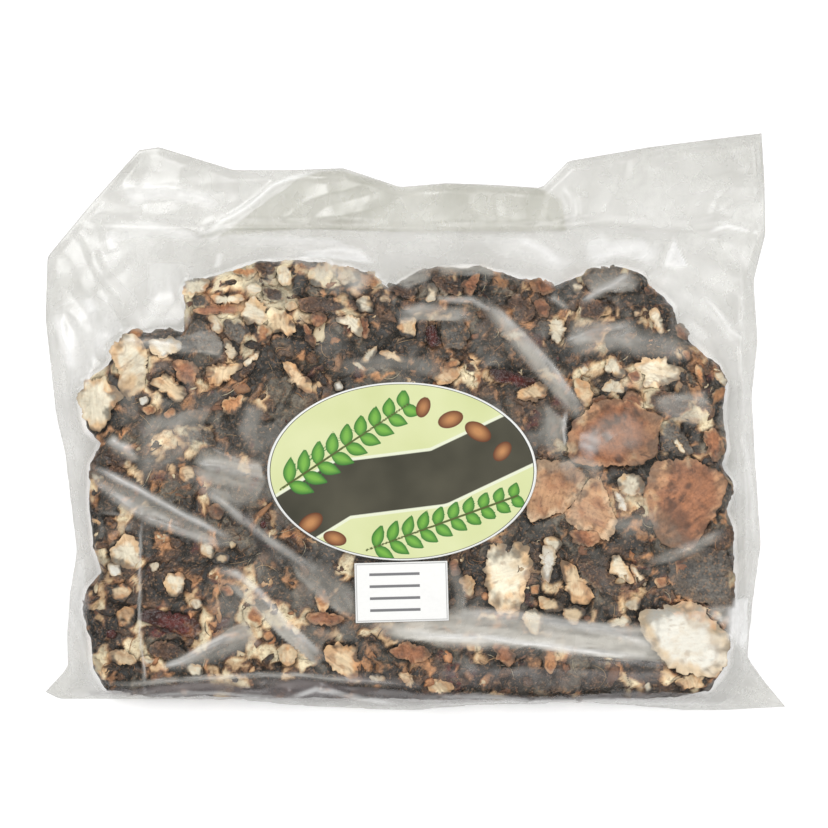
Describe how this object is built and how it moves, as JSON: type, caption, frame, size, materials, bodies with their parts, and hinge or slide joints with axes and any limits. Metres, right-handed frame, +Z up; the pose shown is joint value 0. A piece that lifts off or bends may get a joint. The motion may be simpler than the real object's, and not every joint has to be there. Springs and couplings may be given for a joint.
{
  "type": "bag of shelled tamarind",
  "caption": "Sealed clear film bag lying flat, filled with a pressed bed of shelled, deseeded tamarind pulp and seed membranes, with an oval label and a small sticker.",
  "frame": {"origin": "under the middle of the bag, on the surface that it lies on", "axes": "+X along the bag's long side, +Y towards its open mouth above the heat seal, +Z up out of the labelled front"},
  "size_m": [0.2466, 0.192, 0.0188],
  "materials": {
    "film": "thin clear glossy film, slightly milky, creased",
    "pulp": "sticky dark brown fibrous fruit pulp, half gloss",
    "rind": "dry rust-brown fruit skin, fine grain, dull",
    "membrane": "thin papery cream seed-pocket membrane with brown veins, satin",
    "flesh": "wet dark red fruit flesh, glossy",
    "label_paper": null,
    "sticker_paper": "plain white sticker paper with fine grey rules, matt"
  },
  "bodies": {
    "root": {"bag_film": "film", "pulp_bed": "pulp", "rind_flake_01": "rind", "rind_flake_02": "rind", "rind_flake_03": "rind", "rind_flake_04": "rind", "rind_flake_05": "rind", "rind_flake_06": "rind", "rind_flake_07": "rind", "rind_flake_08": "rind", "membrane_flake_01": "membrane", "membrane_flake_02": "membrane", "membrane_flake_03": "membrane", "membrane_flake_04": "membrane", "membrane_flake_05": "membrane", "membrane_flake_06": "membrane", "membrane_flake_07": "membrane", "membrane_flake_08": "membrane", "membrane_flake_09": "membrane", "membrane_flake_10": "membrane", "membrane_flake_11": "membrane", "membrane_flake_12": "membrane", "membrane_flake_13": "membrane", "membrane_flake_14": "membrane", "membrane_flake_15": "membrane", "membrane_flake_16": "membrane", "membrane_flake_17": "membrane", "membrane_flake_18": "membrane", "membrane_flake_19": "membrane", "membrane_flake_20": "membrane", "membrane_flake_21": "membrane", "membrane_flake_22": "membrane", "membrane_flake_23": "membrane", "membrane_flake_24": "membrane", "membrane_flake_25": "membrane", "membrane_flake_26": "membrane", "membrane_flake_27": "membrane", "membrane_flake_28": "membrane", "membrane_flake_29": "membrane", "membrane_flake_30": "membrane", "flesh_strip_01": "flesh", "flesh_strip_02": "flesh", "flesh_strip_03": "flesh", "oval_label": "label_paper", "plain_sticker": "sticker_paper"}
  },
  "joints": []
}
